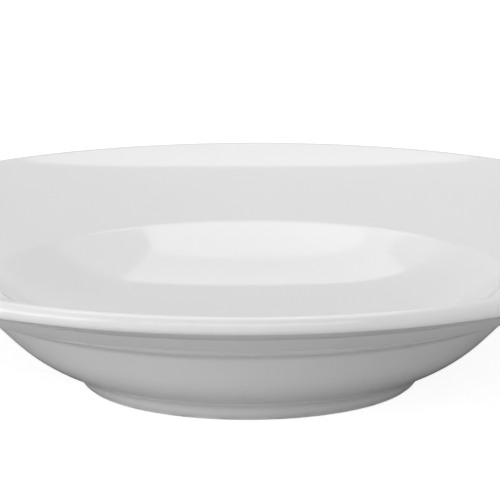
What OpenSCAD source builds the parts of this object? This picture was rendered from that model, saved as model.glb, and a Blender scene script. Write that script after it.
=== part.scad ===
// Pasta bowl: wide-rimmed porcelain bowl on a low foot ring
// Lengths in millimetres and angles in degrees, +Z up, origin at the centre of the standing plane

/* [Rim] */
// Diameter over the glazed lip
rim_d = 270; // [250:1:310]
// Height from the standing plane to the top of the glazed lip
bowl_h = 51.5; // [48:0.5:58]
// Thickness of the rolled lip, over the glaze
lip_t = 5.4; // [4.4:0.1:6.4]
// Rise of the inside of the rim where it meets the lip
lip_slope = 26; // [23:0.1:28]
// Rise of the underside of the rim
underside_slope = 18.4; // [17.6:0.1:19]
// Width over which the inside of the rim turns up towards the lip, measured from the outer edge
rim_turn_w = 14; // [10:0.5:20]
// Radius of that turn
rim_turn_round = 140; // [60:5:180]

/* [Well] */
// Diameter of the ridge where the rim turns down into the well
well_d = 162.8; // [155:0.2:170]
// Height of that ridge above the standing plane
ridge_z = 34.1; // [33:0.1:36]
// Rounding of the ridge
ridge_round = 5; // [2:0.5:8]
// Slope of the wall of the well
wall_slope = 37.7; // [36:0.1:42]
// Height at which the wall of the well turns into the floor
wall_foot_z = 21.4; // [20.4:0.1:22.6]
// Radius of the turn from the wall to the floor
wall_foot_r = 66; // [40:1:70]
// Slope of the floor where it meets the wall
floor_slope = 17.5; // [16:0.1:19]
// Height of the floor at its centre
floor_z = 9.2; // [8.6:0.1:9.8]

/* [Shoulder] */
// Diameter of the groove between the rim and the shoulder
groove_d = 232; // [229:0.2:238]
// Rounding of that groove
groove_round = 1; // [0.6:0.1:2]
// Diameter of the lower edge of the shoulder
shoulder_d = 211; // [207:0.2:216]
// Height of the lower edge of the shoulder
shoulder_z = 35; // [34.4:0.1:35.8]
// Rounding of the lower edge of the shoulder
shoulder_round = 3; // [1:0.5:6]

/* [Wall] */
// Diameter at which the wall meets the underside of the shoulder
neck_d = 174; // [169:0.2:178]
// Height of that place
neck_z = 28.6; // [27.6:0.1:29.4]
// Radius of the hollow between the wall and the underside of the shoulder
neck_hollow_r = 12; // [4:1:20]
// Diameter of the fullest place low on the wall
belly_d = 138.4; // [134:0.2:142]
// Height of that place
belly_z = 11; // [10.2:0.1:11.8]
// Radius of the swell there
belly_r = 53; // [30:1:60]

/* [Foot] */
// Outer diameter of the standing edge
foot_d = 103.4; // [100:0.2:106]
// Diameter at which the foot meets the wall
foot_top_d = 112.4; // [109:0.2:116]
// Height of the foot at its meeting with the wall
foot_h = 5.6; // [5:0.1:6.2]
// Radius of the hollow between the foot and the wall
foot_hollow_r = 12; // [2:0.5:14]
// Width of the standing edge
foot_w = 4.4; // [3.6:0.1:6]
// Rounding of the edges of the foot
foot_edge_round = 0.8; // [0.4:0.1:1.2]
// Lean of the inside of the foot over its height
foot_lean = 1.2; // [0.6:0.1:2]
// Height of the recess under the base
recess_h = 2.6; // [2.3:0.1:3]
// Rounding in the corner of the recess
recess_round = 1.6; // [0.6:0.1:2]

/* [Glaze] */
// Thickness of the glaze
glaze_t = 0.3; // [0.2:0.05:0.5]
// Height at which the glaze stops above the standing plane
glaze_stop = 1.1; // [1:0.1:1.5]

/* [Hidden] */
$fn = 180;

// Largest turn between two neighbouring points of a rounded stretch
turn_step = 5;
// Fewest pieces in a rounded stretch
least_pieces = 3;
// Most of a stretch between two corners that their roundings take
taken_share = 0.96;

rim_r = rim_d / 2;
well_r = well_d / 2;
bead_r = lip_t / 2 - glaze_t;
bead_centre = [rim_r - lip_t / 2, bowl_h - lip_t / 2];
foot_r = foot_d / 2;
foot_top_r = foot_top_d / 2;
foot_in_r = foot_r - foot_w;

// Points and lines in the plane of the section, as [radius, height]
function unit(v) = v / norm(v);
function right_of(v) = [v[1], -v[0]];
function cross_z(a, b) = a[0] * b[1] - a[1] * b[0];
function on_circle(centre, r, angle) = centre + r * [cos(angle), sin(angle)];
function pieces(turn) = max(least_pieces, ceil(abs(turn) / turn_step));
function arc(centre, r, from, to) =
    let (n = pieces(to - from))
    [for (i = [0:n]) on_circle(centre, r, from + (to - from) * i / n)];
function reversed(line) = [for (i = [len(line) - 1:-1:0]) line[i]];
function without_first(line) = [for (i = [1:len(line) - 1]) line[i]];

// A corner is [point, rounding radius]; the first and the last of a line stay sharp
function place(corners, i) = corners[i][0];
function along(corners, i) = place(corners, i + 1) - place(corners, i);
function is_end(corners, i) = i == 0 || i == len(corners) - 1;
function turn_at(corners, i) =
    let (a = along(corners, i - 1), b = along(corners, i))
    atan2(cross_z(a, b), a * b);
function reach(corners, i) =
    is_end(corners, i) ? 0 : corners[i][1] * abs(tan(turn_at(corners, i) / 2));
// Share of a rounding that fits on the two stretches beside its corner
function fitting_share(corners, i) =
    let (
        own = reach(corners, i),
        before = norm(along(corners, i - 1)) / (own + reach(corners, i - 1)),
        after = norm(along(corners, i)) / (own + reach(corners, i + 1))
    )
    min(1, taken_share * before, taken_share * after);
function rounded_corner(corners, i) =
    let (
        turn = turn_at(corners, i),
        side = sign(turn),
        r = corners[i][1] * fitting_share(corners, i),
        ahead = unit(along(corners, i - 1)),
        start = place(corners, i) - ahead * r * abs(tan(turn / 2)),
        centre = start - side * r * right_of(ahead),
        from = atan2(start[1] - centre[1], start[0] - centre[0])
    )
    arc(centre, r, from, from + turn);
function rounded(corners) = [
    for (i = [0:len(corners) - 1])
        each (is_end(corners, i) || corners[i][1] == 0)
            ? [place(corners, i)]
            : rounded_corner(corners, i)
];

// The same line moved out by the thickness of the glaze
function outward(line, i) =
    let (
        last = len(line) - 1,
        a = unit(line[max(i, 1)] - line[max(i, 1) - 1]),
        b = unit(line[min(i, last - 1) + 1] - line[min(i, last - 1)])
    )
    (right_of(a) + right_of(b)) / (1 + a * b);
function on_axis(p) = p[0] == 0;
function glazed(line) = [
    for (i = [0:len(line) - 1])
        on_axis(line[i])
            ? line[i] + glaze_t * [0, sign(outward(line, i)[1])]
            : line[i] + glaze_t * outward(line, i)
];

// Foot, from the recess round the bare standing edge
function between(a, b, height) = a + (b - a) * (height - a[1]) / (b[1] - a[1]);
foot_out = [foot_r, 0];
foot_top = [foot_top_r, foot_h];
foot_in = [foot_in_r, 0];
recess_corner = [foot_in_r - foot_lean, recess_h];
stop_out = between(foot_out, foot_top, glaze_stop);
stop_in = between(foot_in, recess_corner, glaze_stop);

// Groove under the rim, on the line of the underside
underside_start = on_circle(bead_centre, bead_r, underside_slope - 90);
groove_r = groove_d / 2;
groove = [groove_r, underside_start[1] - (underside_start[0] - groove_r) * tan(underside_slope)];

// Inside of the rim
rim_start = on_circle(bead_centre, bead_r, lip_slope + 90);
rim_turn_r = rim_r - rim_turn_w;
rim_turn = [rim_turn_r, rim_start[1] - (rim_start[0] - rim_turn_r) * tan(lip_slope)];

// Wall and floor of the well
wall_foot = [well_r - (ridge_z - wall_foot_z) / tan(wall_slope), wall_foot_z];
floor_corner = [wall_foot[0] - (wall_foot_z - floor_z) / tan(floor_slope), floor_z];
floor_r = floor_corner[0] / tan(floor_slope / 2);

base_line = rounded([
    [[0, recess_h], 0],
    [recess_corner, recess_round],
    [stop_in, 0],
]);
edge_line = rounded([
    [stop_in, 0],
    [foot_in, foot_edge_round],
    [foot_out, foot_edge_round],
    [stop_out, 0],
]);
outer_line = rounded([
    [stop_out, 0],
    [foot_top, foot_hollow_r],
    [[belly_d / 2, belly_z], belly_r],
    [[neck_d / 2, neck_z], neck_hollow_r],
    [[shoulder_d / 2, shoulder_z], shoulder_round],
    [groove, groove_round],
    [underside_start, 0],
]);
bead_line = arc(bead_centre, bead_r, underside_slope - 90, lip_slope + 90);
inner_line = rounded([
    [rim_start, 0],
    [rim_turn, rim_turn_round],
    [[well_r, ridge_z], ridge_round],
    [wall_foot, wall_foot_r],
    [floor_corner, floor_r],
    [[0, floor_z], 0],
]);
ware_line = concat(outer_line, without_first(bead_line), without_first(inner_line));

module turned(outline) rotate_extrude() polygon(outline);

// Fired body with its bare standing edge
module porcelain_body()
    color("ivory")
    turned(concat(base_line, without_first(edge_line), without_first(ware_line)));

// Glaze over the well, the rim, the wall and the outside of the foot
module glaze_coat()
    color("white")
    turned(concat(ware_line, reversed(glazed(ware_line))));

// Glaze inside the foot ring
module base_glaze()
    color("whitesmoke")
    turned(concat(base_line, reversed(glazed(base_line))));

porcelain_body();
glaze_coat();
base_glaze();
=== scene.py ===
import math
import bpy
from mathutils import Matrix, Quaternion, Vector


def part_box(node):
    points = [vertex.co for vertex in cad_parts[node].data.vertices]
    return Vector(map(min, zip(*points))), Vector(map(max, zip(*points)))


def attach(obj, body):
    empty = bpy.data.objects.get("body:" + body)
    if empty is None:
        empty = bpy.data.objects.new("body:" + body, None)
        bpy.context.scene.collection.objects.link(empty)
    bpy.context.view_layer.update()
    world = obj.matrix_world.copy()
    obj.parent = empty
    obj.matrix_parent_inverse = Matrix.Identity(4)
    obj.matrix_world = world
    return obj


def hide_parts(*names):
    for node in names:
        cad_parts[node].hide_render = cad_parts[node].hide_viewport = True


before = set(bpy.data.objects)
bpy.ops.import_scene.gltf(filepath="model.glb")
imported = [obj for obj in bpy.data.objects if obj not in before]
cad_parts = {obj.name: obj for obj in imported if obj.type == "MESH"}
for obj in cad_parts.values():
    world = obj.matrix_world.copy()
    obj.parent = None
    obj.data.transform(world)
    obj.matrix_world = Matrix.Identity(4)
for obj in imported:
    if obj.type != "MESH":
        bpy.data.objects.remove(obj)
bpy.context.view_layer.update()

bpy.ops.object.select_all(action="DESELECT")
scene = bpy.context.scene
scene.view_settings.view_transform = "Standard"
mm = 0.001
print("frame loaded")


# Camera, where the photograph was taken from
cameraPlan = {
    "reach": 1.33,  # to the axis of the bowl at the height of its lip
    "elevation": 11.89,
    "lipLevel": 51.3 * mm,
    "aim": (0.3 * mm, 0, 42.2 * mm),
    "lens": 302.6,
    "sensor": 36,
    "roll": -0.195,
}


def placeCamera(plan):
    lift = math.radians(plan["elevation"])
    data = bpy.data.cameras.new("camera")
    data.sensor_width = plan["sensor"]
    data.lens = plan["lens"]
    camera = bpy.data.objects.new("camera", data)
    scene.collection.objects.link(camera)
    camera.location = (
        0,
        -plan["reach"] * math.cos(lift),
        plan["reach"] * math.sin(lift) + plan["lipLevel"],
    )
    towards = Vector(plan["aim"]) - camera.location
    camera.rotation_mode = "QUATERNION"
    camera.rotation_quaternion = towards.to_track_quat("-Z", "Y") @ Quaternion(
        (0, 0, 1), math.radians(plan["roll"])
    )
    scene.camera = camera


placeCamera(cameraPlan)
print("camera placed")


# Values that add and multiply as nodes
class Value:
    def __init__(self, shader, socket):
        self.shader = shader
        self.socket = socket

    def join(self, operation, a, b):
        made = self.shader.node("ShaderNodeMath", {"operation": operation}, {0: a, 1: b})
        return self.shader.value(made)

    def __add__(self, other):
        return self.join("ADD", self, other)

    def __radd__(self, other):
        return self.join("ADD", other, self)

    def __mul__(self, other):
        return self.join("MULTIPLY", self, other)

    def __rmul__(self, other):
        return self.join("MULTIPLY", other, self)


class Shader:
    def __init__(self, owner):
        owner.use_nodes = True
        self.tree = owner.node_tree
        self.tree.nodes.clear()

    def node(self, kind, settings=None, inputs=None):
        made = self.tree.nodes.new(kind)
        for name, value in (settings or {}).items():
            if name == "stops":
                for _ in value[2:]:
                    made.color_ramp.elements.new(1)
                for element, (place, grey) in zip(made.color_ramp.elements, value):
                    element.position = place
                    element.color = (grey, grey, grey, 1)
            else:
                setattr(made, name, value)
        for name, value in (inputs or {}).items():
            if isinstance(value, Value):
                self.tree.links.new(value.socket, made.inputs[name])
            else:
                made.inputs[name].default_value = value
        return made

    def value(self, node, output=0):
        return Value(self, node.outputs[output])

    def place(self, scale=(1, 1, 1), shift=(0, 0, 0)):
        where = self.value(self.node("ShaderNodeTexCoord"), "Object")
        turned = self.node("ShaderNodeMapping", None, {0: where, "Location": shift, "Scale": scale})
        return self.value(turned)

    # Uneven value around a half, with bumps of the given width
    def cloud(self, width, detail=2.0, stretch=(1, 1, 1), shift=(0, 0, 0)):
        made = self.node(
            "ShaderNodeTexNoise",
            None,
            {"Vector": self.place(stretch, shift), "Scale": 1 / width, "Detail": detail},
        )
        return self.value(made, "Fac")

    def ramp(self, value, stops):
        return self.value(self.node("ShaderNodeValToRGB", {"stops": stops}, {0: value}))

    def tone(self, share, low, high):
        made = self.node(
            "ShaderNodeMix", {"data_type": "RGBA"}, {0: share, 6: (*low, 1), 7: (*high, 1)}
        )
        return self.value(made, 2)

    def finishSurface(self, surface):
        self.node("ShaderNodeOutputMaterial", None, {"Surface": surface})


# Sizes of the bowl in millimetres, as turned; the outermost ones come from the frame
glazeLow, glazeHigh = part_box("glaze_coat")
bowl = {
    "rimRadius": glazeHigh.x / mm,
    "height": glazeHigh.z / mm,
    "lipThickness": 5.4,
    "lipSlope": 26,
    "undersideSlope": 18.4,
    "rimTurnWidth": 14,
    "rimTurnRound": 140,
    "ridge": (81.4, 34.1),
    "ridgeRound": 5,
    "wallSlope": 37.7,
    "wallFootHeight": 21.4,
    "wallFootRound": 66,
    "floorSlope": 17.5,
    "floorHeight": 9.2,
    "grooveRadius": 116,
    "grooveRound": 1,
    "shoulder": (105.5, 35),
    "shoulderRound": 3,
    "neck": (87, 28.6),
    "neckRound": 12,
    "belly": (69.2, 11),
    "bellyRound": 53,
    "footTop": (56.2, 5.6),
    "footHollow": 12,
    "footRadius": 51.7,
    "footWidth": 4.4,
    "footEdge": 0.8,
    "footLean": 1.2,
    "recessHeight": 2.6,
    "recessRound": 1.6,
    "glaze": 0.3,
    "glazeEdge": 0.1,  # rounding of its free edges
    "glazeStop": 1.1,
    "mostTaken": 0.96,  # of a stretch, by the roundings at its ends
    "turnStep": 2.5,
    "longestStep": 3,
    "spinSteps": 180,
    "weld": 0.002,
    "edgeAngle": 50,
    "smoothAngle": 40,
}


def onCircle(centre, radius, angle):
    turn = math.radians(angle)
    return centre + radius * Vector((math.cos(turn), math.sin(turn)))


def arcPoints(centre, radius, start, end):
    pieces = max(3, math.ceil(abs(end - start) / bowl["turnStep"]))
    return [onCircle(centre, radius, start + (end - start) * i / pieces) for i in range(pieces + 1)]


def rightOf(direction):
    return Vector((direction.y, -direction.x))


# Corners are (point, rounding); each rounding shrinks to what fits beside its corner
def roundedLine(corners):
    points = [Vector(point) for point, _ in corners]
    last = len(points) - 1
    ahead = [(b - a).normalized() for a, b in zip(points, points[1:])]
    length = [(b - a).length for a, b in zip(points, points[1:])]
    turn = [0] + [-ahead[i - 1].angle_signed(ahead[i]) for i in range(1, last)] + [0]
    reach = [radius * abs(math.tan(a / 2)) for (_, radius), a in zip(corners, turn)]
    line = []
    for i, (_, radius) in enumerate(corners):
        if reach[i] == 0:
            line.append(points[i])
            continue
        before = bowl["mostTaken"] * length[i - 1] / (reach[i] + reach[i - 1])
        after = bowl["mostTaken"] * length[i] / (reach[i] + reach[i + 1])
        share = min(1, before, after)
        start = points[i] - ahead[i - 1] * reach[i] * share
        side = math.copysign(radius * share, turn[i])
        centre = start - side * rightOf(ahead[i - 1])
        first = math.degrees(math.atan2(start.y - centre.y, start.x - centre.x))
        line += arcPoints(centre, radius * share, first, first + math.degrees(turn[i]))
    return line


# Long straight stretches get points in between, so that the sheen stays even
def evenLine(line):
    even = [line[0]]
    for a, b in zip(line, line[1:]):
        pieces = math.ceil((b - a).length / bowl["longestStep"])
        even += [a.lerp(b, (i + 1) / pieces) for i in range(pieces)]
    return even


def slopeOf(angle):
    return math.tan(math.radians(angle))


def partWay(a, b, height):
    return a.lerp(b, (height - a.y) / (b.y - a.y))


def bowlLines(size):
    ridge = Vector(size["ridge"])
    footOut = Vector((size["footRadius"], 0))
    footIn = footOut - Vector((size["footWidth"], 0))
    recess = Vector((footIn.x - size["footLean"], size["recessHeight"]))
    stopOut = partWay(footOut, Vector(size["footTop"]), size["glazeStop"])
    stopIn = partWay(footIn, recess, size["glazeStop"])
    half = size["lipThickness"] / 2
    bead = Vector((size["rimRadius"] - half, size["height"] - half))
    beadRadius = half - size["glaze"]
    under = onCircle(bead, beadRadius, size["undersideSlope"] - 90)
    over = onCircle(bead, beadRadius, size["lipSlope"] + 90)
    grooveDrop = (under.x - size["grooveRadius"]) * slopeOf(size["undersideSlope"])
    rimTurn = size["rimRadius"] - size["rimTurnWidth"]
    rimDrop = (over.x - rimTurn) * slopeOf(size["lipSlope"])
    wallFoot = ridge - Vector(
        (
            (ridge.y - size["wallFootHeight"]) / slopeOf(size["wallSlope"]),
            ridge.y - size["wallFootHeight"],
        )
    )
    floorRise = wallFoot.y - size["floorHeight"]
    floorCorner = wallFoot - Vector((floorRise / slopeOf(size["floorSlope"]), floorRise))
    base = roundedLine(
        [((0, size["recessHeight"]), 0), (recess, size["recessRound"]), (stopIn, 0)]
    )
    edge = roundedLine(
        [(stopIn, 0), (footIn, size["footEdge"]), (footOut, size["footEdge"]), (stopOut, 0)]
    )
    outside = roundedLine(
        [
            (stopOut, 0),
            (size["footTop"], size["footHollow"]),
            (size["belly"], size["bellyRound"]),
            (size["neck"], size["neckRound"]),
            (size["shoulder"], size["shoulderRound"]),
            ((size["grooveRadius"], under.y - grooveDrop), size["grooveRound"]),
            (under, 0),
        ]
    )
    lip = arcPoints(bead, beadRadius, size["undersideSlope"] - 90, size["lipSlope"] + 90)
    inside = roundedLine(
        [
            (over, 0),
            ((rimTurn, over.y - rimDrop), size["rimTurnRound"]),
            (ridge, size["ridgeRound"]),
            (wallFoot, size["wallFootRound"]),
            (floorCorner, floorCorner.x / slopeOf(size["floorSlope"] / 2)),
            ((0, size["floorHeight"]), 0),
        ]
    )
    return base, edge, outside + lip[1:] + inside[1:]


baseLine, edgeLine, wareLine = bowlLines(bowl)


# A line of points is drawn beside the axis, spun round it and closed at the poles
def turnedPiece(name, line, facing):
    start = line[0] * mm
    bpy.ops.mesh.primitive_plane_add(size=mm, location=(start.x, 0, start.y))
    piece = bpy.context.object
    piece.name = name
    bpy.ops.object.transform_apply(location=True, rotation=False, scale=False)
    bpy.ops.object.mode_set(mode="EDIT")
    bpy.ops.mesh.select_all(action="SELECT")
    bpy.ops.mesh.merge(type="CENTER")
    for here, there in zip(line, line[1:]):
        step = (there - here) * mm
        bpy.ops.mesh.extrude_vertices_move(TRANSFORM_OT_translate={"value": (step.x, 0, step.y)})
    bpy.ops.mesh.select_all(action="SELECT")
    bpy.ops.mesh.spin(
        steps=bowl["spinSteps"], angle=math.tau, center=(0, 0, 0), axis=(0, 0, 1)
    )
    bpy.ops.mesh.select_all(action="SELECT")
    bpy.ops.mesh.remove_doubles(threshold=bowl["weld"] * mm)
    bpy.ops.mesh.normals_make_consistent(inside=False)
    bpy.ops.object.mode_set(mode="OBJECT")
    middle = min(piece.data.polygons, key=lambda face: face.center.xy.length)
    if middle.normal.z * facing < 0:
        bpy.ops.object.mode_set(mode="EDIT")
        bpy.ops.mesh.flip_normals()
        bpy.ops.object.mode_set(mode="OBJECT")
    return piece


def applyModifier(piece, kind, **settings):
    modifier = piece.modifiers.new(kind.lower(), kind)
    for name, value in settings.items():
        setattr(modifier, name, value)
    bpy.ops.object.modifier_apply(modifier=modifier.name)


# A glaze has a thickness of its own, and its free edge is drawn round by the fire
def glazedPiece(name, line, facing):
    piece = turnedPiece(name, line, facing)
    applyModifier(piece, "SOLIDIFY", thickness=bowl["glaze"] * mm, offset=1, use_even_offset=True)
    applyModifier(
        piece,
        "BEVEL",
        width=bowl["glazeEdge"] * mm,
        segments=2,
        limit_method="ANGLE",
        angle_limit=math.radians(bowl["edgeAngle"]),
    )
    bpy.ops.object.shade_smooth_by_angle(angle=math.radians(bowl["smoothAngle"]))
    return piece


glazedWare = glazedPiece("glazedWare", evenLine(wareLine), 1)
baseGlaze = glazedPiece("baseGlaze", evenLine(baseLine), -1)
firedBody = turnedPiece("firedBody", evenLine(baseLine + edgeLine[1:] + wareLine[1:]), -1)
bpy.ops.object.shade_smooth_by_angle(angle=math.radians(bowl["smoothAngle"]))
for piece in (glazedWare, baseGlaze, firedBody):
    print("turned", piece.name, len(piece.data.polygons), "faces")


# Clear glossy glaze over white porcelain
glazeFinish = {
    "white": (0.86, 0.86, 0.86),
    "shade": (0.84, 0.84, 0.84),
    "roughness": 0.05,
    "unevenness": 0.04,
    "index": 1.5,
    "peelWidth": 2.5 * mm,
    "peelDepth": 0.002 * mm,
    "swellWidth": 30 * mm,
    "swellDepth": 0.012 * mm,
}


def whiteGlaze(finish):
    material = bpy.data.materials.new("white_glaze")
    shader = Shader(material)
    broad = shader.cloud(finish["swellWidth"])
    peel = shader.cloud(finish["peelWidth"], 3)
    height = broad * finish["swellDepth"] + peel * finish["peelDepth"]
    relief = shader.node("ShaderNodeBump", None, {"Strength": 1, "Distance": 1, "Height": height})
    surface = shader.node(
        "ShaderNodeBsdfPrincipled",
        None,
        {
            "Base Color": shader.tone(broad, finish["shade"], finish["white"]),
            "Roughness": peel * finish["unevenness"] + finish["roughness"],
            "Normal": shader.value(relief),
            "IOR": finish["index"],
        },
    )
    shader.finishSurface(shader.value(surface))
    return material


# Matt porcelain where the glaze was wiped off, with a little grey from standing
bareFinish = {
    "clean": (0.84, 0.82, 0.78),
    "worn": (0.6, 0.59, 0.57),
    "roughness": 0.7,
    "unevenness": 0.2,
    "grainWidth": 0.35 * mm,
    "grainDepth": 0.012 * mm,
    "scuffWidth": 6 * mm,
    "scuffShare": ((0.45, 0), (0.7, 1)),
}


def barePorcelain(finish):
    material = bpy.data.materials.new("bare_porcelain")
    shader = Shader(material)
    grain = shader.cloud(finish["grainWidth"], 3)
    scuff = shader.ramp(shader.cloud(finish["scuffWidth"], 4), finish["scuffShare"])
    relief = shader.node(
        "ShaderNodeBump",
        None,
        {"Strength": 1, "Distance": 1, "Height": grain * finish["grainDepth"]},
    )
    surface = shader.node(
        "ShaderNodeBsdfPrincipled",
        None,
        {
            "Base Color": shader.tone(scuff, finish["clean"], finish["worn"]),
            "Roughness": grain * finish["unevenness"] + finish["roughness"],
            "Normal": shader.value(relief),
        },
    )
    shader.finishSurface(shader.value(surface))
    return material


glazeMaterial = whiteGlaze(glazeFinish)
glazedWare.data.materials.append(glazeMaterial)
baseGlaze.data.materials.append(glazeMaterial)
firedBody.data.materials.append(barePorcelain(bareFinish))
print("finishes made")


for piece, node, finish in (
    (glazedWare, "glaze_coat", "white_glaze"),
    (baseGlaze, "base_glaze", "white_glaze"),
    (firedBody, "porcelain_body", "bare_porcelain"),
):
    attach(piece, "root")
    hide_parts(node)


# Plain pale floor: white to the camera with a faint shadow, and white in the glaze from
# where it is clear of the bowl; nearer the bowl the glaze mirrors a painted shade
floorPlan = {
    "size": 12,
    "gap": 0.05 * mm,  # under the standing edge
    "pale": (0.8, 0.8, 0.8),
    "paler": (0.82, 0.82, 0.82),
    "grain": 4 * mm,
    "shadow": (0.35, 0.35, 0.35),
    "lift": 0.86,
    "glossLift": 0.6,
    # Distance from the axis, and how pale and how bright the glaze mirrors the floor there: a
    # painted shadow darkens it by the foot, and a painted shade under the bowl keeps the glow out
    "foot": ((0.053, 0.6), (0.057, 0.2), (0.1, 1)),
    "clear": ((0.15, 0), (0.3, 1)),
}


def makeFloor(plan):
    bpy.ops.mesh.primitive_plane_add(size=plan["size"], location=(0, 0, -plan["gap"]))
    floor = bpy.context.object
    floor.name = "floor"
    material = bpy.data.materials.new("floor")
    shader = Shader(material)
    tone = shader.tone(shader.cloud(plan["grain"], 3), plan["pale"], plan["paler"])

    def matt(colour):
        return shader.value(
            shader.node(
                "ShaderNodeBsdfPrincipled",
                None,
                {"Base Color": colour, "Roughness": 1, "Specular IOR Level": 0},
            )
        )

    def lifted(base, strength):
        glow = shader.value(shader.node("ShaderNodeEmission", None, {"Strength": strength}))
        return shader.value(shader.node("ShaderNodeAddShader", None, {0: base, 1: glow}))

    def mixed(share, low, high):
        return shader.value(shader.node("ShaderNodeMixShader", None, {0: share, 1: low, 2: high}))

    pale = matt(tone)
    away = shader.value(
        shader.node("ShaderNodeVectorMath", {"operation": "LENGTH"}, {0: shader.place()}), "Value"
    )
    # painted shadow: the floor mirrored in the glaze is mixed towards black by the foot
    footShadowInGlaze = mixed(shader.ramp(away, plan["foot"]), matt((0, 0, 0, 1)), pale)
    # painted shade: the glow mirrored in the glaze fades out under and near the bowl
    inGlaze = mixed(shader.ramp(away, plan["clear"]), footShadowInGlaze, lifted(pale, plan["glossLift"]))
    path = shader.node("ShaderNodeLightPath")
    mirrored = shader.value(path, "Is Glossy Ray") + shader.value(path, "Is Transmission Ray")
    unseen = mixed(mirrored, pale, inGlaze)
    toCamera = lifted(matt((*plan["shadow"], 1)), plan["lift"])
    seen = mixed(shader.value(path, "Is Camera Ray"), unseen, toCamera)
    shader.finishSurface(seen)
    floor.data.materials.append(material)


makeFloor(floorPlan)


# Studio light: softboxes overhead and in front of the bowl, in a white room
studio = {
    "height": 0.9,
    "overhead": (  # left and right, front and back, glow
        ((-0.44, 0.30), (-0.5, -0.1), 0.3),
        ((-0.44, 0.30), (-0.1, 0.3), 2.45),
        ((-0.44, 0.30), (0.3, 0.79), 1.4),
        ((-1.2, -0.44), (-0.5, 0.79), 0.45),
        ((0.30, 1.2), (-0.5, 0.79), 0.45),
    ),
    "reach": 1.6,
    "front": (  # turn to the left and height in degrees, size, glow
        (0, 20, (1.6, 0.8), 1.95),
        (55, 20, (1.2, 0.6), 2.1),
        (55, 6, (0.9, 0.2), 7.6),
        (-55, 20, (0.9, 0.4), 1.3),
        (95, 15, (0.9, 0.3), 1),
        (-95, 15, (0.9, 0.3), 3.1),
    ),
    "aim": (0, 0, 0.03),
    "room": 0.02,
}


# A lamp of power P over an area A glows at P / (A pi)
def softbox(place, size, glow, target):
    data = bpy.data.lights.new("softbox", "AREA")
    data.shape = "RECTANGLE"
    data.size, data.size_y = size
    data.energy = glow * size[0] * size[1] * math.pi
    lamp = bpy.data.objects.new("softbox", data)
    scene.collection.objects.link(lamp)
    lamp.location = place
    lamp.rotation_mode = "QUATERNION"
    lamp.rotation_quaternion = (Vector(target) - Vector(place)).to_track_quat("-Z", "Y")
    lamp.visible_camera = False


def lightStudio(plan):
    for (left, right), (front, back), glow in plan["overhead"]:
        middle = ((left + right) / 2, (front + back) / 2)
        softbox((*middle, plan["height"]), (right - left, back - front), glow, (*middle, 0))
    for azimuth, elevation, size, glow in plan["front"]:
        turn, lift = math.radians(azimuth), math.radians(elevation)
        level = math.cos(lift)
        towards = Vector((-math.sin(turn) * level, -math.cos(turn) * level, math.sin(lift)))
        aim = Vector(plan["aim"])
        softbox(aim + towards * plan["reach"], size, glow, aim)
    world = bpy.data.worlds.new("room")
    scene.world = world
    shader = Shader(world)
    path = shader.node("ShaderNodeLightPath")
    seen = shader.value(path, "Is Camera Ray") + shader.value(path, "Is Glossy Ray")
    seen = seen + shader.value(path, "Is Transmission Ray")
    dim = shader.node("ShaderNodeBackground", None, {"Strength": plan["room"]})
    white = shader.node("ShaderNodeBackground", None, {"Strength": 1})
    for made in (dim, white):
        made.inputs["Color"].default_value = (1, 1, 1, 1)
    room = shader.node(
        "ShaderNodeMixShader", None, {0: seen, 1: shader.value(dim), 2: shader.value(white)}
    )
    shader.node("ShaderNodeOutputWorld", None, {"Surface": shader.value(room)})


lightStudio(studio)
print("studio lit")
